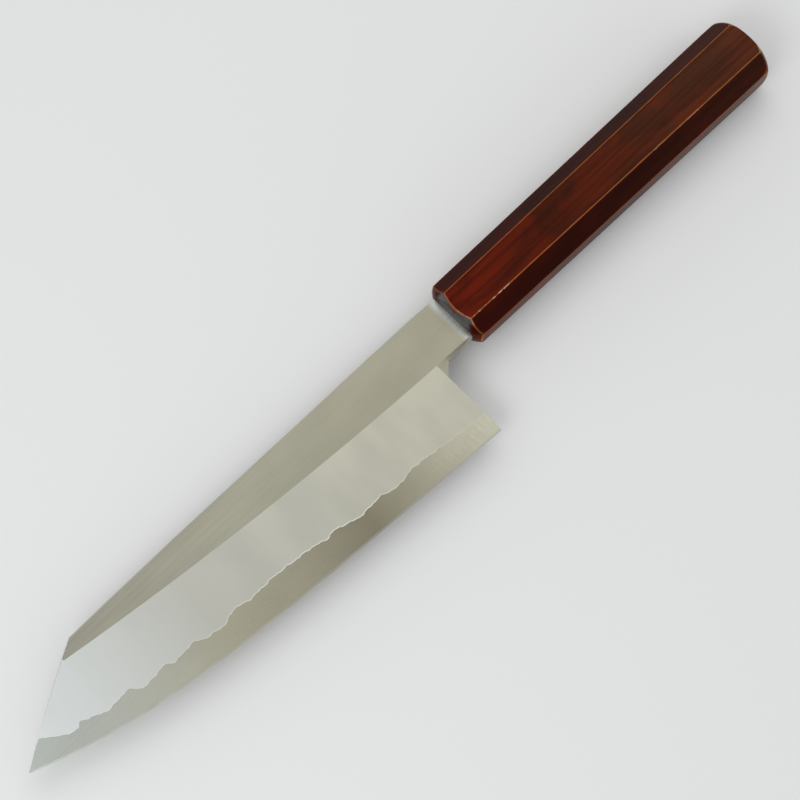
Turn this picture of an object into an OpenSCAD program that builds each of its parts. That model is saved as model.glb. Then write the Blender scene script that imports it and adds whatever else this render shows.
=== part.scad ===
// Kiritsuke kitchen knife: three-layer blade with a slanted tip, and an octagonal handle on a hidden tang.
// Lengths are in millimetres. +X runs from tip to butt, +Y to the spine, +Z to the left face of the blade.
// The origin is on the handle's axis, at the handle's front face.

/* [Blade outline] */
// heel to tip, measured along the spine
edge_length = 180; // [165:5:210]
// spine to the corner of the heel
heel_height = 46.8; // [43:0.5:52]
// handle to heel
neck_length = 15.2; // [12:0.5:20]
// height of the neck where it meets the handle
neck_height = 17.8; // [16:0.5:19]
// how far the spine stands above the top of the neck at the handle
spine_step = 0.45; // [0.2:0.05:0.8]
// length of the slanted tip, measured along the spine
tip_slant = 36.5; // [28:0.5:42]
// spine to the point of the tip
tip_drop = 23.2; // [18:0.5:26]
// outward bow of the slanted tip
slant_bow = 0.6; // [0:0.1:1]
// fall of the spine towards the slanted tip
spine_fall = 0.6; // [0:0.1:1.2]
// rise of the edge that is spread evenly from heel to tip
even_rise = 10.3; // [8:0.1:12]
// how late the belly of the edge turns up to the tip
belly_power = 4.6; // [3:0.1:6]

/* [Grind] */
// thickness of the neck at the handle
neck_thickness = 3.0; // [2.6:0.1:3.6]
// thickness of the spine above the heel
heel_thickness = 2.4; // [2:0.1:2.6]
// thickness of the spine at the corner of the slanted tip
tip_thickness = 1.5; // [1.2:0.1:1.8]
// spine to the upper line of the wide bevel, at the heel
bevel_drop = 17.3; // [15:0.5:19]
// rise of that line from heel to tip
bevel_lift = 17.1; // [14:0.5:20]
// thickness left at the cutting edge
edge_thickness = 0.06; // [0.04:0.01:0.1]
// height of the narrow final bevel along the edge
final_bevel_height = 0.6; // [0.4:0.1:1]
// thickness at the top of the final bevel
final_bevel_thickness = 0.22; // [0.16:0.02:0.3]
// softened corner along the spine
spine_chamfer = 0.25; // [0.1:0.05:0.4]
// length of the eased corner between heel and neck
notch_length = 4.2; // [3:0.1:6]
// depth of the eased corner between heel and neck
notch_drop = 4.0; // [3:0.1:6]

/* [Steel layers] */
// share of the thickness taken by the hard core
core_share = 0.36; // [0.28:0.01:0.42]
// length of the tip that is core on its whole face
core_tip_length = 7.1; // [5:0.1:10]
// scale of the wave in the weld line
weld_wave = 1; // [0:0.1:1.2]
// mean height of core that shows above the edge
weld_height = 8.6; // [7:0.1:9.5]

/* [Tang] */
// length of the tang inside the handle
tang_length = 96; // [80:1:110]
// height of the tang at the handle's face
tang_height = 13.4; // [11:0.2:14]
// height of the tang at its end
tang_end_height = 6; // [5:0.5:8]
// thickness of the tang at the handle's face
tang_thickness = 2.7; // [2.2:0.1:2.9]
// thickness of the tang at its end
tang_end_thickness = 1.6; // [1.4:0.1:2]
// bedding between the tang and the handle, on every side
bedding_gap = 0.4; // [0.2:0.05:0.8]

/* [Handle] */
// length of the handle
handle_length = 138.8; // [125:0.2:150]
// height of the handle at its front
front_height = 23.36; // [21:0.1:25]
// thickness of the handle at its front
front_thickness = 19.2; // [17:0.1:21]
// height of the handle at its butt
butt_height = 25.06; // [23:0.1:28]
// thickness of the handle at its butt
butt_thickness = 20.56; // [19:0.1:23]
// width of each corner facet, across the height
facet_height = 5.56; // [4:0.1:6.5]
// width of each corner facet, across the thickness
facet_depth = 5.9; // [4:0.1:6.5]
// rise of the domed butt
dome_rise = 0.8; // [0.4:0.1:1.5]
// radius of the rounded rim of the butt
rim_radius = 3.9; // [2.5:0.1:4.5]
// setback of the handle's corners at the front
front_easing = 2.3; // [1:0.1:3]
// how far inside the side facets the flat of the front face ends
face_margin = 0.7; // [0.3:0.1:1.5]
// diameter of the pilot hole in the handle
pilot_diameter = 6.4; // [5:0.1:7]
// how far the pilot hole runs past the tang
pilot_margin = 6; // [3:0.5:10]

/* [Hidden] */

near = 0.000001;
overcut = 1;
neck_top = neck_height / 2;
spine_y = neck_top + spine_step;
heel_x = -neck_length;
tip_x = heel_x - edge_length;
corner_x = tip_x + tip_slant;
clad_end_x = tip_x + core_tip_length;
tip_blunt = 0.1;
tip_y = spine_y - tip_drop;
heel_y = spine_y - heel_height;
belly_rise = heel_height - tip_drop - even_rise;
bevel_heel_y = spine_y - bevel_drop;
notch_base = -neck_top - 0.5;
notch_y = notch_base - notch_drop;
notch_power = 1.15;
neck_blend = 12;
fall_start = 0.5 * edge_length;
steps_tip = 4;
steps_slant = 18;
steps_blade = 70;
steps_notch = 5;
inner_upper_share = 0.8;
bevel_reach = 0.96;
easing_power = 1.2;

// Hills and valleys of the weld line: [share of the edge from heel to tip, height against the mean].
weld_line = [
    [0, -1], [0.06, -0.6], [0.16, 0.5], [0.205, -1], [0.24, 0.2], [0.29, -0.7],
    [0.34, 1.3], [0.361, 0.6], [0.39, 1.7], [0.47, 2.1], [0.53, 1.1], [0.56, 1.9],
    [0.59, -0.4], [0.625, -0.3], [0.65, 1.2], [0.695, -0.5], [0.711, 0.6], [0.762, -1.7],
    [0.785, 0.5], [0.834, -1.9], [0.88, -0.5], [0.89, -2.3], [0.91, -2.3], [0.95, 0.6]
];

function mix(a, b, t) = a + (b - a) * t;

function clamp01(t) = min(1, max(0, t));

// Share of the way from heel to tip.
function along(x) = (heel_x - x) / edge_length;

// Spine, and beyond the corner the slanted tip.
function spine_line(x) = spine_y - spine_step * clamp01(1 + x / neck_blend)
    - spine_fall * pow(clamp01((heel_x - x - fall_start) / (corner_x * -1 + heel_x - fall_start)), 2);

function slant_line(x) =
    let (t = (corner_x - x) / tip_slant)
    mix(spine_line(corner_x), tip_y, t) + 4 * slant_bow * t * (1 - t);

function top_line(x) = x < corner_x ? slant_line(x) : spine_line(x);

function edge_line(x) = heel_y + even_rise * along(x) + belly_rise * pow(max(0, along(x)), belly_power);

// Upper line of the wide bevel, straight at the heel and lifting to the tip.
function bevel_line(x) = bevel_heel_y + bevel_lift * (0.27 * along(x) + 0.73 * pow(along(x), 2));

// Half thickness of the flats: a straight taper over the blade, and a steeper one over the neck.
function flat_half(x) = x < heel_x
    ? mix(heel_thickness, tip_thickness, (heel_x - x) / (heel_x - corner_x)) / 2
    : mix(heel_thickness, neck_thickness, (x - heel_x) / neck_length) / 2;

function final_height(x) = min(final_bevel_height, 0.3 * (top_line(x) - edge_line(x)));

// Half thickness of the ground blade at any point of its face.
function half_at(x, y) =
    let (low = edge_line(x) + final_height(x))
    min(flat_half(x), mix(final_bevel_thickness / 2, flat_half(x), (y - low) / (bevel_line(x) - low)));

// The right face has its own weld line, the left one read from the other end.
function core_height(x, side) = weld_height
    + weld_wave * lookup(side > 0 ? along(x) : 0.95 - along(x), weld_line);

function weld_y(x, side) = min(
    edge_line(x) + core_height(x, side),
    top_line(x) - 0.12 * (x - clad_end_x)
);

function notch_share(x) = clamp01((x - heel_x) / notch_length);

function neck_bottom(x) = mix(notch_base, -neck_top, clamp01((x - heel_x - notch_length) / (neck_length - notch_length)))
    - notch_drop * pow(1 - notch_share(x), notch_power);

heel_weld = [weld_y(heel_x, 1), weld_y(heel_x, -1)];

function heel_share(side, y) =
    let (low = heel_weld[side > 0 ? 0 : 1])
    (y - low) / (spine_line(heel_x) - low);

function ground_share(side) =
    let (low = heel_weld[side > 0 ? 0 : 1])
    (notch_y - low) / (bevel_line(heel_x) - low);

function inner_half(x, y) = min(core_share * flat_half(x), 0.9 * half_at(x, y));

// One blade section, as named rows of [height, half thickness]:
// edge, final bevel, weld, neck row, bevel line, chamfer foot, chamfer top, inner top, inner upper, inner lower.
function blade_rows(x, side) =
    let (
        top = top_line(x),
        low = edge_line(x),
        weld = weld_y(x, side),
        bevel = min(bevel_line(x), mix(weld, top, bevel_reach)),
        neck = mix(weld, bevel, ground_share(side)),
        lower = mix(weld, top, heel_share(side, notch_y)),
        upper = mix(weld, top, inner_upper_share),
        soft = min(spine_chamfer, 0.3 * (top - bevel)),
        inner = min(core_share * flat_half(x), 0.85 * half_at(x, top)),
        outer = max(half_at(x, top) - soft, mix(inner, half_at(x, top), 0.5))
    )
    [
        [low, edge_thickness / 2],
        [low + final_height(x), final_bevel_thickness / 2],
        [weld, half_at(x, weld)],
        [neck, half_at(x, neck)],
        [bevel, half_at(x, bevel)],
        [top - soft, half_at(x, top - soft)],
        [top, outer],
        [top, inner],
        [upper, inner_half(x, upper)],
        [lower, inner_half(x, lower)]
    ];

// Ahead of the cladding the whole face is core.
function tip_rows(x) =
    let (top = top_line(x), low = edge_line(x), point = [top, half_at(x, top)])
    concat(
        [[low, edge_thickness / 2], [low + final_height(x), final_bevel_thickness / 2]],
        [for (k = [0:7]) point]
    );

heel_rows = [blade_rows(heel_x, 1), blade_rows(heel_x, -1)];
neck_softness = flat_half(heel_x) - half_at(heel_x, notch_y);

function neck_rows(x, side) =
    let (
        t = (x - heel_x) / neck_length,
        at_heel = heel_rows[side > 0 ? 0 : 1],
        bottom = neck_bottom(x),
        top = spine_line(x),
        flat = flat_half(x),
        inner = core_share * flat
    )
    [
        [bottom, inner],
        [bottom, inner],
        [bottom, inner],
        [bottom, flat - neck_softness],
        [mix(at_heel[4][0], -neck_top + 0.6, t), flat],
        [top - spine_chamfer, flat],
        [top, flat - spine_chamfer],
        [top, inner],
        [mix(at_heel[8][0], tang_height / 2, t), inner],
        [mix(bottom, -tang_height / 2, t), inner]
    ];

function tang_rows(x) =
    let (
        t = x / tang_length,
        reach = mix(tang_height, tang_end_height, t) / 2,
        flat = mix(tang_thickness, tang_end_thickness, t) / 2,
        inner = core_share * mix(neck_thickness, tang_end_thickness, t) / 2
    )
    [
        [-reach, inner], [-reach, inner], [-reach, inner],
        [-reach, flat], [-reach, flat],
        [reach, flat], [reach, flat],
        [reach, inner], [reach, inner],
        [-reach, inner]
    ];

stations_tip = [for (k = [0:steps_tip - 1]) mix(tip_x + tip_blunt, clad_end_x, k / steps_tip)];
stations_clad = concat(
    [for (k = [1:steps_slant]) mix(clad_end_x, corner_x, k / steps_slant)],
    [for (k = [1:steps_blade]) mix(corner_x, heel_x, k / steps_blade)]
);
stations_neck = concat(
    [for (k = [0:steps_notch]) heel_x + notch_length * k / steps_notch],
    [heel_x / 3, 0]
);
stations_tang = [0, tang_length + overcut];

// Sections with their place along the knife, from where the cladding ends to just past the end of the tang.
function body_sections(side) = concat(
    [[clad_end_x, tip_rows(clad_end_x)]],
    [for (x = stations_clad) [x, blade_rows(x, side)]],
    [for (x = stations_neck) [x, neck_rows(x, side)]],
    [for (x = stations_tang) [x, tang_rows(x)]]
);

function tip_sections() = [for (x = stations_tip) [x, tip_rows(x)]];

function pick(section, rows, side) =
    [for (k = rows) [section[0], section[1][k][0], side * section[1][k][1]]];

core_left = concat(tip_sections(), body_sections(1));
core_right = concat(tip_sections(), body_sections(-1));
left_sections = body_sections(1);
right_sections = body_sections(-1);

core_up = [0, 1, 2, 9, 8, 7];
core_down = [7, 8, 9, 2, 1, 0];
clad_outer_up = [2, 3, 4, 5, 6, 7];
clad_inner_down = [8, 9];
clad_inner_up = [2, 9, 8, 7];
clad_outer_down = [6, 5, 4, 3];

core_rings = [for (k = [0:len(core_left) - 1])
    concat(pick(core_left[k], core_up, 1), pick(core_right[k], core_down, -1))];
left_rings = [for (s = left_sections) concat(pick(s, clad_outer_up, 1), pick(s, clad_inner_down, 1))];
right_rings = [for (s = right_sections) concat(pick(s, clad_inner_up, -1), pick(s, clad_outer_down, -1))];

function same(p, q) = norm(p - q) < near;

function first_same(ring, j, k = 0) = same(ring[k], ring[j]) ? k : first_same(ring, j, k + 1);

function match(p, ring, ids, k = 0) =
    k >= len(ring) ? -1 : same(p, ring[k]) ? ids[k] : match(p, ring, ids, k + 1);

function ring_ids(ring, base, last, last_ids) = [for (j = [0:len(ring) - 1])
    let (m = match(ring[j], last, last_ids)) m >= 0 ? m : base + first_same(ring, j)];

function ids_from(rings, i, last_ids) = i >= len(rings) ? [] :
    let (ids = ring_ids(rings[i], i * len(rings[0]), i > 0 ? rings[i - 1] : [], last_ids))
    concat([ids], ids_from(rings, i + 1, ids));

function distinct(f) = f[0] != f[1] && f[1] != f[2] && f[0] != f[2];

function unique(ids) = [for (j = [0:len(ids) - 1]) if (len([for (k = [0:1:j - 1]) if (ids[k] == ids[j]) k]) == 0) ids[j]];

function backwards(v) = [for (k = [len(v) - 1:-1:0]) v[k]];

// A skin over a row of rings. Rows may meet in one point, and rising rows are split one way and falling ones the other.
module skin(rings, rising) {
    m = len(rings[0]);
    ids = ids_from(rings, 0, []);
    sides = [for (i = [0:len(rings) - 2]) for (j = [0:m - 1])
        let (
            a = ids[i][j],
            b = ids[i][(j + 1) % m],
            c = ids[i + 1][(j + 1) % m],
            d = ids[i + 1][j]
        )
        for (f = j < rising ? [[a, b, c], [a, c, d]] : [[a, b, d], [b, c, d]])
            if (distinct(f)) f];
    front = unique(ids[0]);
    back = unique(ids[len(ids) - 1]);
    caps = concat(len(front) > 2 ? [backwards(front)] : [], len(back) > 2 ? [back] : []);
    polyhedron(points = [for (r = rings) for (p = r) p], faces = concat(sides, caps));
}

function box_ring(x, height, thickness) = [
    [x, -height / 2, thickness / 2],
    [x, height / 2, thickness / 2],
    [x, height / 2, -thickness / 2],
    [x, -height / 2, -thickness / 2]
];

// Tapered block along the handle, such as the tang or the slot for it.
module taper_block(x0, x1, size0, size1) {
    skin([box_ring(x0, size0[0], size0[1]), box_ring(x1, size1[0], size1[1])], 1);
}

module tang_form() {
    taper_block(0, tang_length, [tang_height, tang_thickness], [tang_end_height, tang_end_thickness]);
}

// The slot follows the tang with the bedding's gap all round, and starts a little ahead of the face when it cuts.
module tang_slot(lead) {
    height_slope = (tang_end_height - tang_height) / tang_length;
    thickness_slope = (tang_end_thickness - tang_thickness) / tang_length;
    wide = 2 * bedding_gap;
    taper_block(
        -lead,
        tang_length + bedding_gap,
        [tang_height + wide - lead * height_slope, tang_thickness + wide - lead * thickness_slope],
        [tang_end_height + wide, tang_end_thickness + wide]
    );
    rotate([0, 90, 0])
        translate([0, 0, tang_length / 2])
            cylinder(d = pilot_diameter, h = tang_length / 2 + pilot_margin, $fn = 48);
}

// Octagonal outline at a place along the handle, with its facets' widths kept.
function octagon(x) =
    let (
        y = mix(front_height, butt_height, x / handle_length) / 2,
        z = mix(front_thickness, butt_thickness, x / handle_length) / 2,
        fy = y - facet_height,
        fz = z - facet_depth
    )
    [[-fy, z], [fy, z], [y, fz], [y, -fz], [fy, -z], [-fy, -z], [-y, -fz], [-y, fz]];

// The octagon, held inside a circle where the ends are rounded as if on a lathe.
function handle_ring(x, radius) =
    let (corners = octagon(x))
    [for (k = [0:7]) for (share = facet_shares)
        let (p = mix(corners[k], corners[(k + 1) % 8], share), q = p * min(1, radius / norm(p)))
        [x, q[0], q[1]]];

facet_shares = [0, 0.1, 0.3, 0.7, 0.9];
front_radius = norm(octagon(front_easing)[2]) + 0.01;
face_radius = front_thickness / 2 - face_margin;
easing_steps = 4;
corner_radius = norm(octagon(handle_length - dome_rise - rim_radius)[2]) + 0.01;
rim_angle = 84;
rim_steps = 6;
rim_start = corner_radius - rim_radius * sin(rim_angle);
dome_steps = 3;

// Places along the handle and the radius of the circle there.
handle_profile = concat(
    [for (k = [0:easing_steps])
        let (share = k / easing_steps)
        [front_easing * pow(share, easing_power), mix(face_radius, front_radius, share)]],
    [for (k = [rim_steps:-1:0])
        let (a = rim_angle * k / rim_steps)
        [handle_length - dome_rise - rim_radius * (1 - cos(a)), rim_start + rim_radius * sin(a)]],
    [for (k = [1:dome_steps])
        let (share = k / dome_steps)
        [handle_length - dome_rise * pow(1 - share, 2), rim_start * (1 - share)]]
);

// The forged layers run past the tang's end and are cut off square together.
module cut_square() {
    difference() {
        children();
        translate([tang_length, -tang_height, -tang_height])
            cube([2 * overcut, 2 * tang_height, 2 * tang_height]);
    }
}

module core_steel() {
    color([0.62, 0.62, 0.58])
        cut_square()
            skin(core_rings, 5);
}

module cladding_left() {
    color([0.78, 0.79, 0.77])
        cut_square()
            skin(left_rings, 5);
}

module cladding_right() {
    color([0.78, 0.79, 0.77])
        cut_square()
            skin(right_rings, 3);
}

module handle_body() {
    color([0.3, 0.1, 0.05])
        difference() {
            skin([for (p = handle_profile) handle_ring(p[0], p[1])], 8 * len(facet_shares));
            tang_slot(overcut);
        }
}

module tang_bedding() {
    color([0.55, 0.45, 0.3])
        difference() {
            tang_slot(0);
            tang_form();
        }
}

core_steel();
cladding_left();
cladding_right();
handle_body();
tang_bedding();
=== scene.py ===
import math

import bpy
from mathutils import Matrix, Vector


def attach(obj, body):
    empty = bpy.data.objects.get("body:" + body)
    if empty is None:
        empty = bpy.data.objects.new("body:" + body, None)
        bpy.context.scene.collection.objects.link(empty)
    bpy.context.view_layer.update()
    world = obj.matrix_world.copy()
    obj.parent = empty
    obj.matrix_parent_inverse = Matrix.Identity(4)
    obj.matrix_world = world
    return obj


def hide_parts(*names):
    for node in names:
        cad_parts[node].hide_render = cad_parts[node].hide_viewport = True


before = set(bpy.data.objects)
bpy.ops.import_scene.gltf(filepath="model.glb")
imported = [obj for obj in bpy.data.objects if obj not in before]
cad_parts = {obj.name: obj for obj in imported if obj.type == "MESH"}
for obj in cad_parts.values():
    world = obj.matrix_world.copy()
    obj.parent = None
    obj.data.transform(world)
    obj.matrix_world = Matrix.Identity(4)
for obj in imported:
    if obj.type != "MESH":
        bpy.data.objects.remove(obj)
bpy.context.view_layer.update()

# This knife's frame: +X from tip to butt, +Y from edge to spine, +Z out of the left face.
# Lengths in this script are millimetres, and MM turns them into metres.
MM = 0.001
# Millimetres to one unit of the blade's UV map.
UV_UNIT = 20.0

# Blade outline
EDGE_LENGTH = 180.0
HEEL_HEIGHT = 46.8
NECK_LENGTH = 15.2
NECK_HEIGHT = 17.8
SPINE_STEP = 0.45
SLANT_REACH = 36.5
TIP_DROP = 23.2
SLANT_BOW = 0.6
SPINE_FALL = 0.6
EVEN_RISE = 10.3
BELLY_POWER = 4.6
TIP_BLUNT = 0.1

# Grind
NECK_THICKNESS = 3.0
HEEL_THICKNESS = 2.4
TIP_THICKNESS = 1.5
BEVEL_DROP = 17.3
BEVEL_LIFT = 17.1
EDGE_THICKNESS = 0.06
HONED_HEIGHT = 0.6
HONED_THICKNESS = 0.22
SPINE_CHAMFER = 0.25
NOTCH_LENGTH = 4.2
NOTCH_DROP = 4.0
NOTCH_POWER = 1.15
CORE_SHARE = 0.36
CORE_TIP = 7.1
CORE_SHOWN = 8.6
BEVEL_REACH = 0.96

# Tang and its slot
TANG_LENGTH = 96.0
TANG_HEIGHT, TANG_END_HEIGHT = 13.4, 6.0
TANG_THICKNESS, TANG_END_THICKNESS = 2.7, 1.6
BEDDING = 0.4
PILOT_RADIUS = 3.2
PILOT_MARGIN = 6.0

# Handle
HANDLE_LENGTH = 138.8
FRONT_HEIGHT, BUTT_HEIGHT = 23.36, 25.06
FRONT_THICKNESS, BUTT_THICKNESS = 19.2, 20.56
FACET_HEIGHT, FACET_DEPTH = 5.56, 5.9
DOME_RISE = 0.8
RIM_RADIUS = 3.9
RIM_ANGLE = math.radians(84)
FRONT_EASING = 2.3
EASING_POWER = 1.2
FACE_MARGIN = 0.7
RIM_ROUND = 0.6

neck_top = NECK_HEIGHT / 2
spine_y = neck_top + SPINE_STEP
heel_x = -NECK_LENGTH
tip_x = heel_x - EDGE_LENGTH
corner_x = tip_x + SLANT_REACH
clad_end_x = tip_x + CORE_TIP
tip_y = spine_y - TIP_DROP
heel_y = spine_y - HEEL_HEIGHT
belly_rise = HEEL_HEIGHT - TIP_DROP - EVEN_RISE
bevel_heel_y = spine_y - BEVEL_DROP
notch_base = -neck_top - 0.5
notch_y = notch_base - NOTCH_DROP
fall_start = 0.5 * EDGE_LENGTH

# Share of the edge from heel to tip, and the weld line's height against its mean.
WELD_HILLS = (
    (0, -1), (0.06, -0.6), (0.16, 0.5), (0.205, -1), (0.24, 0.2), (0.29, -0.7),
    (0.34, 1.3), (0.361, 0.6), (0.39, 1.7), (0.47, 2.1), (0.53, 1.1), (0.56, 1.9),
    (0.59, -0.4), (0.625, -0.3), (0.65, 1.2), (0.695, -0.5), (0.711, 0.6), (0.762, -1.7),
    (0.785, 0.5), (0.834, -1.9), (0.88, -0.5), (0.89, -2.3), (0.91, -2.3), (0.95, 0.6),
)
# Small ripples of the weld line: height, waves over the edge, start.
WELD_RIPPLES = ((0.15, 29.3, 0.3), (0.11, 53.1, 0.71), (0.06, 97.7, 0.12))


def mix(a, b, t):
    return a + (b - a) * t


def clamp01(t):
    return min(1.0, max(0.0, t))


def along(x):
    return (heel_x - x) / EDGE_LENGTH


def spine_line(x):
    step = SPINE_STEP * clamp01(1 + x / 12)
    fall = clamp01((heel_x - x - fall_start) / (heel_x - corner_x - fall_start))
    return spine_y - step - SPINE_FALL * fall ** 2


def top_line(x):
    if x >= corner_x:
        return spine_line(x)
    t = (corner_x - x) / SLANT_REACH
    return mix(spine_line(corner_x), tip_y, t) + 4 * SLANT_BOW * t * (1 - t)


def edge_line(x):
    return heel_y + EVEN_RISE * along(x) + belly_rise * max(0.0, along(x)) ** BELLY_POWER


def bevel_line(x):
    return bevel_heel_y + BEVEL_LIFT * (0.27 * along(x) + 0.73 * along(x) ** 2)


def flat_half(x):
    if x < heel_x:
        return mix(HEEL_THICKNESS, TIP_THICKNESS, (heel_x - x) / (heel_x - corner_x)) / 2
    return mix(HEEL_THICKNESS, NECK_THICKNESS, (x - heel_x) / NECK_LENGTH) / 2


def honed_height(x):
    return min(HONED_HEIGHT, 0.3 * (top_line(x) - edge_line(x)))


def half_at(x, y):
    low = edge_line(x) + honed_height(x)
    return min(flat_half(x), mix(HONED_THICKNESS / 2, flat_half(x), (y - low) / (bevel_line(x) - low)))


def smooth_hills(t):
    """The hills' heights, eased from one to the next."""
    for (t0, h0), (t1, h1) in zip(WELD_HILLS, WELD_HILLS[1:]):
        if t <= t1:
            share = clamp01((t - t0) / (t1 - t0))
            return mix(h0, h1, 0.5 * share + 0.5 * share * share * (3 - 2 * share))
    return WELD_HILLS[-1][1]


def weld_y(x, side):
    t = along(x) if side > 0 else 0.95 - along(x)
    hills = smooth_hills(t)
    calm = clamp01(min(along(x), 0.95 - along(x)) / 0.03)
    ripples = sum(h * math.sin(2 * math.pi * (n * t + s)) for h, n, s in WELD_RIPPLES)
    return min(
        edge_line(x) + CORE_SHOWN + hills + calm * ripples,
        top_line(x) - 0.12 * (x - clad_end_x),
    )


def neck_bottom(x):
    t = clamp01((x - heel_x) / NOTCH_LENGTH)
    run = clamp01((x - heel_x - NOTCH_LENGTH) / (NECK_LENGTH - NOTCH_LENGTH))
    return mix(notch_base, -neck_top, run) - NOTCH_DROP * (1 - t) ** NOTCH_POWER


def blade_rows(x, side):
    """Edge, honed bevel, weld, notch row, bevel line, chamfer foot, chamfer top, and the three inner rows."""
    top, low, weld = top_line(x), edge_line(x), weld_y(x, side)
    bevel = min(bevel_line(x), mix(weld, top, BEVEL_REACH))
    heel_low = weld_y(heel_x, side)
    neck = mix(weld, bevel, (notch_y - heel_low) / (bevel_line(heel_x) - heel_low))
    lower = mix(weld, top, (notch_y - heel_low) / (spine_line(heel_x) - heel_low))
    upper = mix(weld, top, 0.8)
    soft = min(SPINE_CHAMFER, 0.3 * (top - bevel))
    inner = min(CORE_SHARE * flat_half(x), 0.85 * half_at(x, top))
    outer = max(half_at(x, top) - soft, mix(inner, half_at(x, top), 0.5))

    def inside(y):
        return min(CORE_SHARE * flat_half(x), 0.9 * half_at(x, y))

    return [
        (low, EDGE_THICKNESS / 2), (low + honed_height(x), HONED_THICKNESS / 2),
        (weld, half_at(x, weld)), (neck, half_at(x, neck)), (bevel, half_at(x, bevel)),
        (top - soft, half_at(x, top - soft)), (top, outer),
        (top, inner), (upper, inside(upper)), (lower, inside(lower)),
    ]


def tip_rows(x):
    top, low = top_line(x), edge_line(x)
    honed = [(low, EDGE_THICKNESS / 2), (low + honed_height(x), HONED_THICKNESS / 2)]
    return honed + [(top, half_at(x, top))] * 8


def neck_rows(x, side):
    t = (x - heel_x) / NECK_LENGTH
    heel = blade_rows(heel_x, side)
    bottom, top, flat = neck_bottom(x), spine_line(x), flat_half(x)
    inner = CORE_SHARE * flat
    softness = flat_half(heel_x) - half_at(heel_x, notch_y)
    return [(bottom, inner)] * 3 + [
        (bottom, flat - softness), (mix(heel[4][0], -neck_top + 0.6, t), flat),
        (top - SPINE_CHAMFER, flat), (top, flat - SPINE_CHAMFER), (top, inner),
        (mix(heel[8][0], TANG_HEIGHT / 2, t), inner), (mix(bottom, -TANG_HEIGHT / 2, t), inner),
    ]


def tang_rows(x):
    t = x / TANG_LENGTH
    reach = mix(TANG_HEIGHT, TANG_END_HEIGHT, t) / 2
    flat = mix(TANG_THICKNESS, TANG_END_THICKNESS, t) / 2
    inner = CORE_SHARE * mix(NECK_THICKNESS, TANG_END_THICKNESS, t) / 2
    low, high = -reach, reach
    return [(low, inner)] * 3 + [(low, flat)] * 2 + [(high, flat)] * 2 + [(high, inner)] * 2 + [(low, inner)]


def spread(a, b, n):
    """n stations from a towards b, without b."""
    return [mix(a, b, k / n) for k in range(n)]


blade_stations = spread(clad_end_x, corner_x, 60) + spread(corner_x, heel_x, 300) + [heel_x]
neck_stations = spread(heel_x, heel_x + NOTCH_LENGTH, 16) + spread(heel_x + NOTCH_LENGTH, 0, 8) + [0.0]
tip_stations = spread(tip_x + TIP_BLUNT, clad_end_x, 16)


def sections(side):
    """Rows at every station, from where the cladding starts to the tang's end."""
    rows = [(clad_end_x, tip_rows(clad_end_x))]
    rows += [(x, blade_rows(x, side)) for x in blade_stations[1:]]
    rows += [(x, neck_rows(x, side)) for x in neck_stations]
    return rows + [(x, tang_rows(x)) for x in (0.0, TANG_LENGTH)]


def ring(section, rows, steps, side):
    """The named rows of one section as points, each stretch split into its number of steps."""
    x, points = section[0], [section[1][r] for r in rows]
    out = []
    for (y0, z0), (y1, z1), n in zip(points, points[1:], steps):
        out += [(x, mix(y0, y1, k / n), side * mix(z0, z1, k / n)) for k in range(n)]
    return out + [(x, points[-1][0], side * points[-1][1])]


def skin(name, rings, slots, slot_of, sharp_columns, height_from, cap_ends=True, sharp_angle=25, marks=None):
    """A closed skin over rings of points; slot_of(i, j) picks the finish of each face.
    Its UV map holds the place along the knife and the height above height_from, both in UV_UNIT.
    marks(i, j) gives values to keep at each point, by name."""
    seen, ids, points, kept = {}, [], [], []
    for i, one in enumerate(rings):
        row = []
        for j, p in enumerate(one):
            key = tuple(round(c, 5) for c in p)
            if key not in seen:
                seen[key] = len(points)
                points.append(p)
                kept.append(marks(i, j) if marks else {})
            row.append(seen[key])
        ids.append(row)
    faces, finish, sharp = [], [], set()
    m = len(rings[0])
    for i in range(len(rings) - 1):
        for j in range(m):
            k = (j + 1) % m
            loop = [ids[i][j], ids[i][k], ids[i + 1][k], ids[i + 1][j]]
            loop = [v for n, v in enumerate(loop) if v != loop[n - 1]]
            if len(set(loop)) > 2:
                faces.append(loop)
                finish.append(slot_of(i, j))
        for j in sharp_columns:
            sharp.add(frozenset((ids[i][j], ids[i + 1][j])))
    if cap_ends:
        for row, order in ((ids[0], -1), (ids[-1], 1)):
            cap = list(dict.fromkeys(row))[::order]
            if len(cap) > 2:
                faces.append(cap)
                finish.append(slot_of(0, 0))
    mesh = bpy.data.meshes.new(name)
    mesh.from_pydata([tuple(c * MM for c in p) for p in points], [], faces)
    volume = 0.0
    for face in faces:
        a = Vector(points[face[0]])
        for b, c in zip(face[1:], face[2:]):
            volume += a.dot(Vector(points[b]).cross(Vector(points[c])))
    mesh.polygons.foreach_set("material_index", finish)
    if volume < 0:
        mesh.flip_normals()
    mesh.shade_smooth()
    mesh.set_sharp_from_angle(angle=math.radians(sharp_angle))
    for edge in mesh.edges:
        if frozenset(edge.vertices) in sharp:
            edge.use_edge_sharp = True
    if height_from:
        uv = mesh.uv_layers.new(name="over_line")
        for loop in mesh.loops:
            x, y, _ = points[loop.vertex_index]
            uv.data[loop.index].uv = (x / UV_UNIT, (y - height_from(x)) / UV_UNIT)
    for label in kept[0]:
        layer = mesh.attributes.new(label, "FLOAT", "POINT")
        layer.data.foreach_set("value", [one[label] for one in kept])
    for material in slots:
        mesh.materials.append(material)
    piece = bpy.data.objects.new(name, mesh)
    bpy.context.collection.objects.link(piece)
    return piece


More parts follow.
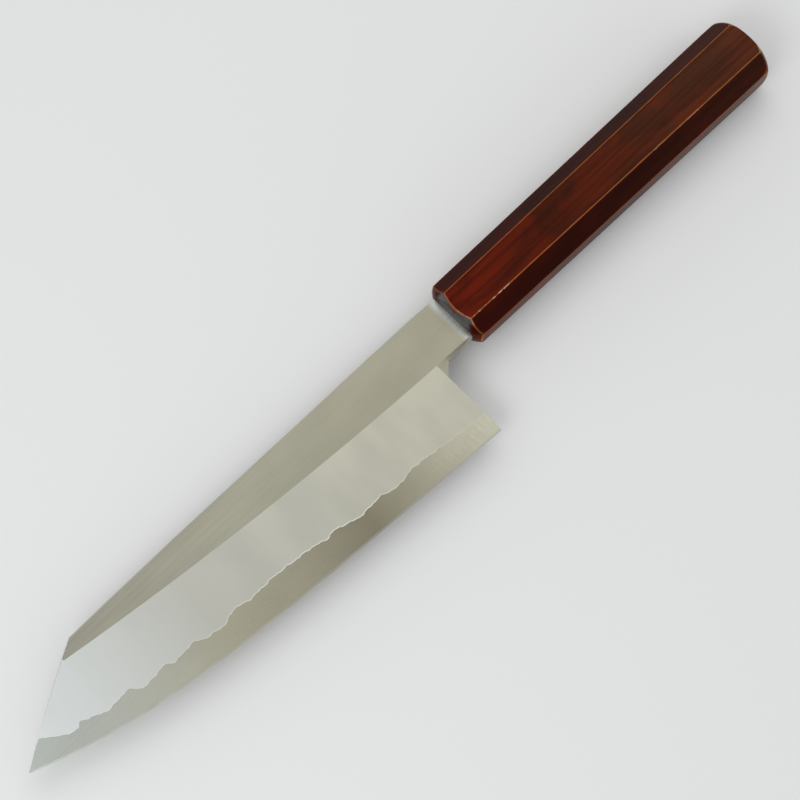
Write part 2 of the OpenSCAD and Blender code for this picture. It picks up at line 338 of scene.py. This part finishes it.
# Materials
# Tones of the steels from tip to heel, and how brightly the weld line glints there. The tones are the steels'
# own colours with painted reflections laid in, lighter and darker along the blade. The glint is a painted
# highlight.
CORE_TONES_AND_REFLECTIONS = (
    (0.0, (0.70, 0.74, 0.69)), (0.4, (0.50, 0.48, 0.36)), (0.72, (0.23, 0.21, 0.15)), (1.0, (0.48, 0.47, 0.37)),
)
FLAT_TONES_AND_REFLECTIONS = ((0.1, (0.38, 0.37, 0.30)), (0.9, (0.30, 0.29, 0.22)))
BEVEL_TONES_AND_REFLECTIONS = ((0.05, (0.84, 0.88, 0.87)), (0.4, (0.55, 0.55, 0.49)), (0.9, (0.50, 0.49, 0.40)))
WELD_PAINTED_GLINT = ((0.0, 0.25), (0.35, 0.35), (0.5, 0.8), (0.72, 1.0), (0.82, 0.3), (1.0, 0.1))


class Finish:
    """A material in the making: its nodes, joined as they are named."""

    def __init__(self, name):
        self.material = bpy.data.materials.new(name)
        self.material.use_nodes = True
        self.tree = self.material.node_tree
        self.shader = self.tree.nodes["Principled BSDF"]

    def node(self, kind, settings=None, **inputs):
        made = self.tree.nodes.new(kind)
        for key, value in (settings or {}).items():
            setattr(made, key, value)
        for key, value in inputs.items():
            self.put(made, key.replace("_", " "), value)
        return made

    def put(self, made, key, value):
        socket = made.inputs[int(key) if key.isdigit() else key]
        if isinstance(value, bpy.types.NodeSocket):
            self.tree.links.new(value, socket)
        else:
            socket.default_value = value

    def set(self, **values):
        for key, value in values.items():
            self.put(self.shader, key.replace("_", " "), value)

    def place(self, scale, turn=(0, 0, 0)):
        """Object coordinates, scaled in features per metre."""
        coordinate = self.node("ShaderNodeTexCoord").outputs["Object"]
        mapping = self.node("ShaderNodeMapping", Vector=coordinate, Scale=scale, Rotation=turn)
        return mapping.outputs["Vector"]

    def noise(self, scale, detail=4.0, roughness=0.55, distortion=0.0, turn=(0, 0, 0)):
        made = self.node(
            "ShaderNodeTexNoise", Vector=self.place(scale, turn), Scale=1.0,
            Detail=detail, Roughness=roughness, Distortion=distortion,
        )
        return made.outputs["Fac"]

    def spread(self, value, low, high, to_low=0.0, to_high=1.0, smooth=True):
        how = "SMOOTHSTEP" if smooth else "LINEAR"
        made = self.node("ShaderNodeMapRange", {"interpolation_type": how}, Value=value)
        for key, number in (("From Min", low), ("From Max", high), ("To Min", to_low), ("To Max", to_high)):
            made.inputs[key].default_value = number
        return made.outputs["Result"]

    def maths(self, how, a, b=0.0):
        made = self.node("ShaderNodeMath", {"operation": how})
        for k, value in enumerate((a, b)):
            self.put(made, str(k), value)
        return made.outputs[0]

    def blend(self, share, a, b):
        made = self.node("ShaderNodeMix", {"data_type": "RGBA"})
        for socket, value in ((made.inputs[0], share), (made.inputs[6], a), (made.inputs[7], b)):
            if isinstance(value, bpy.types.NodeSocket):
                self.tree.links.new(value, socket)
            else:
                socket.default_value = value if socket == made.inputs[0] else (*value, 1.0)
        return made.outputs[2]

    def toned(self, colour, value):
        """The colour made darker or lighter by a number near 1."""
        made = self.node("ShaderNodeMix", {"data_type": "RGBA", "blend_type": "MULTIPLY"})
        made.inputs[0].default_value = 1.0
        self.tree.links.new(colour, made.inputs[6])
        self.tree.links.new(value, made.inputs[7])
        return made.outputs[2]

    def bump(self, height, distance, strength=1.0):
        made = self.node("ShaderNodeBump", Height=height, Distance=distance, Strength=strength)
        self.set(Normal=made.outputs["Normal"])

    def coordinate(self, axis):
        """Object X, Y or Z, in metres."""
        spot = self.node("ShaderNodeTexCoord").outputs["Object"]
        return self.node("ShaderNodeSeparateXYZ", Vector=spot).outputs[axis]

    def blade_place(self):
        """0 at the tip, 1 at the heel, and on a little over the neck."""
        made = self.node("ShaderNodeMapRange", {"clamp": False}, Value=self.coordinate("X"))
        made.inputs["From Min"].default_value = tip_x * MM
        made.inputs["From Max"].default_value = heel_x * MM
        return made.outputs["Result"]

    def attribute(self, name):
        return self.node("ShaderNodeAttribute", {"attribute_name": name}).outputs["Fac"]

    def ramp(self, value, stops):
        made = self.node("ShaderNodeValToRGB", Fac=value)
        bar = made.color_ramp
        for k, (place, colour) in enumerate(stops):
            stop = bar.elements[k] if k < 2 else bar.elements.new(place)
            stop.position = place
            stop.color = (*colour, 1.0)
        return made.outputs["Color"]

    def ramp_value(self, value, stops):
        grey = self.ramp(value, [(place, (h, h, h)) for place, h in stops])
        return self.node("ShaderNodeSeparateColor", Color=grey).outputs["Red"]

    def line_height(self):
        """Millimetres above the line that the piece's UV map is measured from."""
        uv = self.node("ShaderNodeUVMap", {"uv_map": "over_line"}).outputs["UV"]
        v = self.node("ShaderNodeSeparateXYZ", Vector=uv).outputs["Y"]
        return self.maths("MULTIPLY", v, UV_UNIT)


def satin_flat():
    f = Finish("satin_flat_steel")
    streaks = f.noise((30, 2600, 2600), detail=3)
    clouds = f.noise((25, 60, 60), detail=2)
    # Painted reflections along the flat, over its own satin tone.
    colour = f.ramp(f.blade_place(), FLAT_TONES_AND_REFLECTIONS)
    colour = f.toned(colour, f.spread(streaks, 0.3, 0.7, 0.95, 1.07))
    colour = f.toned(colour, f.spread(clouds, 0.35, 0.7, 0.96, 1.06))
    # Painted reflection: pale streaks where the neck goes into the handle, standing for the handle mirrored in
    # the steel.
    near_handle = f.spread(f.coordinate("X"), -0.0036, -0.0012)
    painted_reflection = f.maths("MULTIPLY", near_handle, f.spread(streaks, 0.35, 0.6, 0.35, 0.9))
    colour = f.blend(painted_reflection, colour, (0.50, 0.53, 0.52))
    roughness = f.spread(streaks, 0.3, 0.7, 0.27, 0.36)
    f.set(Base_Color=colour, Metallic=1.0, Roughness=roughness, Anisotropic=0.35)
    f.bump(streaks, 0.000003)
    return f.material


def misted_bevel():
    f = Finish("misted_bevel_steel")
    height = f.line_height()
    haze = f.noise((60, 25, 60), detail=3, turn=(0, 0, 0.5))
    grit = f.noise((900, 3200, 3200), detail=3)
    place = f.blade_place()
    # Painted highlight: a thin bright line just above the weld, its strength set along the blade.
    line = f.maths("MULTIPLY", f.spread(height, 0.0, 0.4, 1.0, 0.0), f.ramp_value(place, WELD_PAINTED_GLINT))
    # Painted reflections along the bevel, brightest near the tip, over its own misty tone.
    colour = f.ramp(place, BEVEL_TONES_AND_REFLECTIONS)
    colour = f.toned(colour, f.spread(haze, 0.35, 0.7, 1.02, 0.96))
    colour = f.blend(line, colour, (0.97, 0.98, 0.92))
    f.set(Base_Color=colour, Metallic=1.0, Roughness=f.spread(haze, 0.3, 0.7, 0.36, 0.46))
    f.bump(grit, 0.000005)
    return f.material


def polished_core():
    f = Finish("polished_core_steel")
    drift = f.noise((22, 45, 22), detail=2)
    lines = f.noise((25, 1500, 1500), detail=3)
    scratches = f.noise((3000, 150, 150), detail=2, turn=(0, 0, 0.9))
    place = f.blade_place()
    # Painted reflections along the core, with a dark painted reflection towards the heel, over its own polished
    # tone.
    colour = f.ramp(place, CORE_TONES_AND_REFLECTIONS)
    colour = f.toned(colour, f.spread(drift, 0.35, 0.65, 0.95, 1.05))
    # Short honing marks near the heel.
    honed = f.maths("MULTIPLY", f.spread(scratches, 0.5, 0.75, 0.0, 0.2), f.spread(place, 0.8, 1.0))
    colour = f.blend(honed, colour, (0.80, 0.80, 0.72))
    f.set(Base_Color=colour, Metallic=1.0, Roughness=f.spread(lines, 0.3, 0.7, 0.262, 0.276))
    f.bump(lines, 0.0000002)
    return f.material


def honed_edge():
    f = Finish("honed_edge_steel")
    lines = f.noise((60, 900, 900), detail=2)
    # The edge takes the core's tones with their painted reflections, paled.
    colour = f.blend(0.3, f.ramp(f.blade_place(), CORE_TONES_AND_REFLECTIONS), (0.80, 0.80, 0.74))
    f.set(Base_Color=colour, Metallic=1.0, Roughness=f.spread(lines, 0.3, 0.7, 0.28, 0.36))
    f.bump(lines, 0.0000004)
    return f.material


def ground_spine():
    f = Finish("ground_spine_steel")
    lines = f.noise((40, 1800, 3800), detail=3)
    f.set(
        Base_Color=f.blend(f.spread(lines, 0.3, 0.7), (0.46, 0.45, 0.39), (0.66, 0.65, 0.59)),
        Metallic=1.0, Roughness=f.spread(lines, 0.3, 0.7, 0.3, 0.42),
    )
    f.bump(lines, 0.000005)
    return f.material


def lacquered_wood():
    f = Finish("lacquered_wood")
    grain = f.noise((11, 520, 520), detail=6, roughness=0.6, distortion=0.3)
    pores = f.noise((55, 2400, 2400), detail=3)
    figure = f.noise((38, 95, 95), detail=4, distortion=0.9)
    wear = f.noise((260, 700, 700), detail=3)
    chips = f.noise((520, 700, 700), detail=2)
    corner = f.attribute("corner_mm")
    slanted = f.attribute("slanted")
    place = f.spread(f.coordinate("X"), 0.0, HANDLE_LENGTH * MM, smooth=False)
    red = f.ramp(place, (
        (0.0, (0.145, 0.010, 0.0005)), (0.3, (0.095, 0.010, 0.001)), (1.0, (0.105, 0.026, 0.009)),
    ))
    brown = f.ramp(place, (
        (0.0, (0.080, 0.006, 0.0005)), (0.3, (0.050, 0.008, 0.001)), (1.0, (0.070, 0.023, 0.010)),
    ))
    colour = f.blend(f.spread(figure, 0.38, 0.62), red, brown)
    colour = f.blend(f.spread(grain, 0.4, 0.68, 0.0, 0.5), colour, (0.020, 0.0022, 0.0008))
    colour = f.blend(f.spread(pores, 0.6, 0.75, 0, 0.4), colour, (0.008, 0.0012, 0.0006))
    # Painted shade: the slanted facets are darkened where less light would fall on them.
    colour = f.blend(f.maths("MULTIPLY", slanted, 0.68), colour, (0.014, 0.0006, 0.0002))
    # Amber wear along the corners and rims, wider in places. At the butt rim the line turns pale, and that pale
    # tone is a painted highlight.
    reach = f.spread(wear, 0.3, 0.7, 0.24, 0.38)
    wear_and_rim_highlight = f.spread(f.maths("DIVIDE", corner, reach), 0.15, 1.25, 1.0, 0.0)
    wear_and_rim_highlight = f.maths("MULTIPLY", wear_and_rim_highlight, f.maths("SUBTRACT", 0.9, f.maths("MULTIPLY", slanted, 0.5)))
    wear_and_highlight_tone = f.blend(f.spread(place, 0.975, 0.99), (0.40, 0.115, 0.030), (0.50, 0.33, 0.22))
    colour = f.blend(wear_and_rim_highlight, colour, wear_and_highlight_tone)
    # Small pale chips on the corner below the side facet, in the places where the lacquer was knocked.
    knocked = f.ramp_value(place, (
        (0.0, 0.3), (0.05, 0.9), (0.12, 0.9), (0.17, 0.0),
        (0.6, 0.0), (0.63, 0.8), (0.66, 0.0), (0.77, 0.3), (0.8, 0.0),
    ))
    height = f.coordinate("Y")
    below = f.maths("MULTIPLY", f.spread(height, 0.0, -0.002), f.spread(height, -0.0095, -0.0085))
    chipped = f.maths("MULTIPLY", f.spread(chips, 0.46, 0.54), f.spread(corner, 0.08, 0.34, 1.0, 0.0))
    chipped = f.maths("MULTIPLY", chipped, f.maths("MULTIPLY", knocked, below))
    colour = f.blend(chipped, colour, (0.58, 0.36, 0.22))
    # The turned mouth round the neck is sealed and polished, with a stronger, clearer coat. Its blue-grey
    # colour is a painted reflection of the steel.
    mouth = f.attribute("mouth")
    colour = f.blend(f.maths("MULTIPLY", mouth, 0.85), colour, (0.040, 0.045, 0.050))
    f.set(
        Base_Color=colour, Roughness=f.spread(grain, 0.3, 0.7, 0.42, 0.54), Specular_IOR_Level=0.0,
        Coat_Weight=f.spread(mouth, 0.0, 1.0, 0.65, 1.0), Coat_Roughness=0.06,
        Coat_IOR=f.spread(mouth, 0.0, 1.0, 1.15, 1.6),
    )
    f.bump(f.maths("ADD", grain, f.maths("MULTIPLY", pores, 0.4)), 0.00002, 0.5)
    return f.material


def set_adhesive():
    f = Finish("set_adhesive")
    lumps = f.noise((900, 900, 900), detail=3)
    f.set(
        Base_Color=f.blend(f.spread(lumps, 0.3, 0.7), (0.05, 0.030, 0.016), (0.11, 0.070, 0.040)),
        Roughness=f.spread(lumps, 0.3, 0.7, 0.45, 0.65),
    )
    f.bump(lumps, 0.00004)
    return f.material


flat_finish = satin_flat()
bevel_finish = misted_bevel()
core_finish = polished_core()
honed_finish = honed_edge()
spine_finish = ground_spine()
wood_finish = lacquered_wood()
bedding_finish = set_adhesive()

# Blade
left, right = sections(1), sections(-1)
tip = [(x, tip_rows(x)) for x in tip_stations]
blade_rings = len(blade_stations)

CORE_ROWS = (0, 1, 2, 9, 8, 7)
CORE_STEPS = (1, 6, 1, 1, 1)
core_half = sum(CORE_STEPS) + 1
core_rings = [
    ring(a, CORE_ROWS, CORE_STEPS, 1) + ring(b, CORE_ROWS[::-1], CORE_STEPS[::-1], -1)
    for a, b in zip(tip + left, tip + right)
]


def core_slot(i, j):
    if j in (0, 2 * core_half - 2, 2 * core_half - 1):
        return 1
    if j >= core_half - 1 and j <= core_half:
        return 2
    return 0


core = skin(
    "core_steel_visual", core_rings, (core_finish, honed_finish, spine_finish), core_slot,
    (0, 1, 7, core_half - 1, core_half, 2 * core_half - 8, 2 * core_half - 2, 2 * core_half - 1),
    edge_line,
)

OUTER_ROWS = (2, 3, 4, 5, 6, 7)
OUTER_STEPS = (4, 5, 5, 1, 1)
INNER_ROWS = (8, 9)
bevel_column = 9
spine_column = 14


def cladding(name, rows, side):
    def clad_slot(i, j):
        x = rows[i][0]
        if j >= spine_column:
            return 2
        if i >= blade_rings - 1:
            return 0
        past_the_line = bevel_line(x) > mix(weld_y(x, side), top_line(x), BEVEL_REACH)
        return 1 if j < bevel_column or past_the_line else 0

    rings = [
        ring(s, OUTER_ROWS, OUTER_STEPS, side) + [(s[0], s[1][r][0], side * s[1][r][1]) for r in INNER_ROWS]
        for s in rows
    ]
    return skin(
        name, rings, (flat_finish, bevel_finish, spine_finish), clad_slot,
        (0, bevel_column, spine_column, spine_column + 1, spine_column + 2),
        lambda x: weld_y(min(x, heel_x), side),
    )


left_clad = cladding("cladding_left_visual", left, 1)
right_clad = cladding("cladding_right_visual", right, -1)

# Handle
CORNER_SHARPNESS = 130
RIM_SHARPNESS = 70
# Places along a facet: millimetres from its ends, then shares of what is left.
NEAR_CORNER = (0.0, 0.12, 0.25, 0.4, 0.6, 0.85, 1.2, 1.7)
MIDDLE = (0.12, 0.3, 0.5, 0.7, 0.88)


def octagon(x):
    t = x / HANDLE_LENGTH
    y, z = mix(FRONT_HEIGHT, BUTT_HEIGHT, t) / 2, mix(FRONT_THICKNESS, BUTT_THICKNESS, t) / 2
    fy, fz = y - FACET_HEIGHT, z - FACET_DEPTH
    return [(fy, z), (y, fz), (y, -fz), (fy, -z), (-fy, -z), (-y, -fz), (-y, fz), (-fy, z)]


def facet_lines(corners, inset):
    """Normal and distance of each facet, moved in by inset."""
    lines = []
    for (y0, z0), (y1, z1) in zip(corners, corners[1:] + corners[:1]):
        ny, nz = z0 - z1, y1 - y0
        size = math.hypot(ny, nz)
        ny, nz = ny / size, nz / size
        far = ny * y0 + nz * z0
        if far < 0:
            ny, nz, far = -ny, -nz, -far
        lines.append((ny, nz, far - inset))
    return lines


def perimeter(corners):
    """Directions round the octagon, each with its distance from the nearest corner and 1 on a slanted facet."""
    out = []
    for k, ((y0, z0), (y1, z1)) in enumerate(zip(corners, corners[1:] + corners[:1])):
        size = math.hypot(y1 - y0, z1 - z0)
        rest = size - 2 * NEAR_CORNER[-1]
        places = list(NEAR_CORNER) + [NEAR_CORNER[-1] + m * rest for m in MIDDLE]
        places += [size - n for n in NEAR_CORNER[:0:-1]]
        for s in places:
            y, z = mix(y0, y1, s / size), mix(z0, z1, s / size)
            out.append((math.atan2(z, y), min(s, size - s), float(k % 2 == 0)))
    return out


def soft_min(values, sharpness):
    low = min(values)
    return low * sum((low / v) ** sharpness for v in values) ** (-1 / sharpness)


def handle_ring(x, turned, inset):
    """One ring of the handle, and for each point its distance from the nearest amber corner or rim line,
    whether its facet is slanted, and how far it belongs to the mouth round the neck."""
    corners = octagon(x)
    lines = facet_lines(corners, inset)
    points, marks = [], []
    for angle, corner, slanted in perimeter(corners):
        c, s = math.cos(angle), math.sin(angle)
        reaches = [far / (ny * c + nz * s) for ny, nz, far in lines if ny * c + nz * s > 0.2]
        facet = soft_min(reaches, CORNER_SHARPNESS)
        r = soft_min([facet, turned], RIM_SHARPNESS)
        points.append((x, r * c, r * s))
        rims = (abs(front_circle(x) - facet) * 0.7, abs(butt_circle(x) - facet) * 0.7)
        mouth = clamp01((facet - turned) / 0.3) * clamp01((NECK_HEIGHT / 2 - 1 - abs(r * c)) / 1.5)
        marks.append({
            "corner_mm": min(corner + max(0.0, facet - turned), *rims), "slanted": slanted,
            "mouth": mouth if x < FRONT_EASING else 0.0,
        })
    return points, marks


def slot_ring(x, shape):
    """The slot's outline seen along the same directions, with its four corners kept."""
    half_y, half_z, radius = shape
    points = []
    for angle, corner, slanted in perimeter(octagon(0)):
        c, s = math.cos(angle), math.sin(angle)
        r = min(half_y / max(abs(c), 1e-6), half_z / max(abs(s), 1e-6)) if half_y else 0.0
        r = max(r, radius)
        points.append((x, r * c, r * s))
    if half_y and not radius:
        for cy, cz in ((half_y, half_z), (half_y, -half_z), (-half_y, half_z), (-half_y, -half_z)):
            near = min(range(len(points)), key=lambda k: math.hypot(points[k][1] - cy, points[k][2] - cz))
            points[near] = (x, cy, cz)
    return points


def slot_shape(x, radius=0.0):
    t = x / TANG_LENGTH
    clear = BEDDING + 0.01
    half_y = mix(TANG_HEIGHT, TANG_END_HEIGHT, t) / 2 + clear
    half_z = mix(TANG_THICKNESS, TANG_END_THICKNESS, t) / 2 + clear
    return half_y, half_z, radius


front_radius = math.hypot(FRONT_HEIGHT / 2, FRONT_THICKNESS / 2 - FACET_DEPTH)
corner_radius = math.hypot(BUTT_HEIGHT / 2, BUTT_THICKNESS / 2 - FACET_DEPTH)
face_radius = FRONT_THICKNESS / 2 - FACE_MARGIN
# A turning radius that cuts nothing off.
UNTURNED = 3 * corner_radius
rim_start = corner_radius - RIM_RADIUS * math.sin(RIM_ANGLE)
slot_end = TANG_LENGTH + BEDDING
pilot_start, pilot_end = TANG_LENGTH / 2, TANG_LENGTH + PILOT_MARGIN


def front_circle(x):
    return mix(face_radius, front_radius, (x / FRONT_EASING) ** (1 / EASING_POWER))


def front_turned(x):
    return front_circle(x) if x < FRONT_EASING else UNTURNED


def butt_circle(x):
    inward = x - (HANDLE_LENGTH - DOME_RISE - RIM_RADIUS)
    if inward < 0:
        return corner_radius - inward
    return rim_start + math.sqrt(max(0.0, RIM_RADIUS ** 2 - inward ** 2))


hole_rings = [
    slot_ring(pilot_end, (0, 0, 0.0)), slot_ring(pilot_end, (0, 0, PILOT_RADIUS)),
    slot_ring(slot_end, (0, 0, PILOT_RADIUS)), slot_ring(slot_end, slot_shape(slot_end, PILOT_RADIUS)),
    slot_ring(pilot_start, slot_shape(pilot_start, PILOT_RADIUS)),
    slot_ring(pilot_start, slot_shape(pilot_start)), slot_ring(0, slot_shape(0)),
]
hidden = [{"corner_mm": 9.0, "slanted": 0.0, "mouth": 1.0}] * len(hole_rings[0])
outer = []
for k in range(7):
    turn = math.radians(15 * k)
    x = RIM_ROUND * (1 - math.cos(turn))
    outer.append(handle_ring(x, front_turned(x), RIM_ROUND * (1 - math.sin(turn))))
for x in (0.8, 1.0, 1.2, 1.4, 1.6, 1.8, 2.0, 2.15):
    outer.append(handle_ring(x, front_turned(x), 0))
body_end = HANDLE_LENGTH - DOME_RISE - RIM_RADIUS * (1 - math.cos(RIM_ANGLE))
for k in range(41):
    outer.append(handle_ring(mix(FRONT_EASING, body_end, k / 41), UNTURNED, 0))
for k in range(18, -1, -1):
    turn = RIM_ANGLE * k / 18
    x = HANDLE_LENGTH - DOME_RISE - RIM_RADIUS * (1 - math.cos(turn))
    outer.append(handle_ring(x, rim_start + RIM_RADIUS * math.sin(turn), 0))
rim_points, rim_marks = outer[-1]
dome_marks = [{"corner_mm": 9.0, "slanted": 0.0, "mouth": 0.0}] * len(rim_points)
for k in range(1, 9):
    share = k / 8
    x = HANDLE_LENGTH - DOME_RISE * (1 - share) ** 2
    outer.append(([(x, p[1] * (1 - share), p[2] * (1 - share)) for p in rim_points], dome_marks))
handle_rings = hole_rings + [points for points, marks in outer]
handle_marks = [hidden] * len(hole_rings) + [marks for points, marks in outer]
handle = skin(
    "handle_visual", handle_rings, (wood_finish,), lambda i, j: 0, (), None,
    cap_ends=False, sharp_angle=50, marks=lambda i, j: handle_marks[i][j],
)

# Put on the frame
for piece, node, slot in (
    (core, "core_steel", "core_steel"),
    (left_clad, "cladding_left", "cladding"),
    (right_clad, "cladding_right", "cladding"),
    (handle, "handle_body", "lacquered_wood"),
):
    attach(piece, "root")
    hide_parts(node)

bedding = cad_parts["tang_bedding"]
if not bedding.material_slots:
    bedding.data.materials.append(bedding_finish)
bedding.material_slots[0].material = bedding_finish

# Floor, light and camera
FLOOR_Z = -BUTT_THICKNESS / 2 - 0.05
# The photograph's view: turn of the knife in the picture, roll, tilt from straight above, and distance.
KNIFE_TURN = math.radians(44.307)
ROLL = math.radians(-1.85)
TILT = math.radians(16.95)
DISTANCE = 704.0
LENS = 99.0
LOOK_AT = Vector((-31.47, -7.65, 0))

across = Vector((math.cos(KNIFE_TURN), -math.sin(KNIFE_TURN), 0))
away = Vector((math.sin(KNIFE_TURN), math.cos(KNIFE_TURN), 0))
up = Vector((0, 0, 1))
right_1 = math.cos(ROLL) * across + math.sin(ROLL) * away
away_1 = -math.sin(ROLL) * across + math.cos(ROLL) * away
up_1 = math.cos(TILT) * away_1 + math.sin(TILT) * up
forward = math.sin(TILT) * away_1 - math.cos(TILT) * up
view_right = math.cos(ROLL) * right_1 - math.sin(ROLL) * up_1
view_up = math.sin(ROLL) * right_1 + math.cos(ROLL) * up_1


def facing(position, x_axis, y_axis, z_axis):
    turn = Matrix((x_axis, y_axis, z_axis)).transposed().to_4x4()
    return Matrix.Translation(position * MM) @ turn


camera_data = bpy.data.cameras.new("camera")
camera_data.lens = LENS
camera_data.sensor_width = 36.0
camera = bpy.data.objects.new("camera", camera_data)
camera.matrix_world = facing(LOOK_AT - DISTANCE * forward, view_right, view_up, -forward)
bpy.context.collection.objects.link(camera)
bpy.context.scene.camera = camera
bpy.context.scene.view_settings.view_transform = "Standard"


def softbox(name, direction, distance, size, radiance, colour):
    """A square light that faces the knife, of a given brightness to look at."""
    z_axis = direction.normalized()
    x_axis = view_right.cross(z_axis).cross(z_axis).normalized() * -1
    y_axis = z_axis.cross(x_axis)
    data = bpy.data.lights.new(name, "AREA")
    data.shape = "SQUARE"
    data.size = size
    data.energy = radiance * math.pi * size * size
    data.color = colour
    light = bpy.data.objects.new(name, data)
    light.matrix_world = facing(LOOK_AT + z_axis * distance, x_axis, y_axis, z_axis)
    bpy.context.collection.objects.link(light)


mirror = math.sin(TILT) * away_1 + math.cos(TILT) * up
softbox("soft_top", mirror + 0.3 * away_1, 1100, 0.9, 0.9, (1.0, 0.99, 0.97))
softbox("soft_left", Vector((-0.9, -0.2, 0.9)), 1000, 0.5, 3.2, (0.97, 0.985, 1.0))

# A pale room, brighter at its walls than overhead.
WALLS, OVERHEAD = 0.75, 0.55
world = bpy.data.worlds.new("studio")
bpy.context.scene.world = world
world.use_nodes = True
sky = world.node_tree
direction = sky.nodes.new("ShaderNodeTexCoord").outputs["Generated"]
split = sky.nodes.new("ShaderNodeSeparateXYZ")
sky.links.new(direction, split.inputs[0])
level = sky.nodes.new("ShaderNodeMapRange")
level.interpolation_type = "SMOOTHSTEP"
for key, number in (("From Min", 0.1), ("From Max", 0.95), ("To Min", WALLS), ("To Max", OVERHEAD)):
    level.inputs[key].default_value = number
sky.links.new(split.outputs["Z"], level.inputs["Value"])
sky.links.new(level.outputs["Result"], sky.nodes["Background"].inputs["Strength"])
sky.nodes["Background"].inputs["Color"].default_value = (0.97, 0.98, 1.0, 1)

FLOOR_HALF = 3000.0
floor_mesh = bpy.data.meshes.new("floor")
floor_corners = ((-1, -1), (1, -1), (1, 1), (-1, 1))
floor_points = [(sx * FLOOR_HALF * MM, sy * FLOOR_HALF * MM, FLOOR_Z * MM) for sx, sy in floor_corners]
floor_mesh.from_pydata(floor_points, [], [(0, 1, 2, 3)])
floor = bpy.data.objects.new("floor", floor_mesh)
bpy.context.collection.objects.link(floor)
paper = Finish("pale_paper")
paper.set(Base_Color=(0.85, 0.85, 0.84, 1), Roughness=0.9, Specular_IOR_Level=0.1)
floor_mesh.materials.append(paper.material)
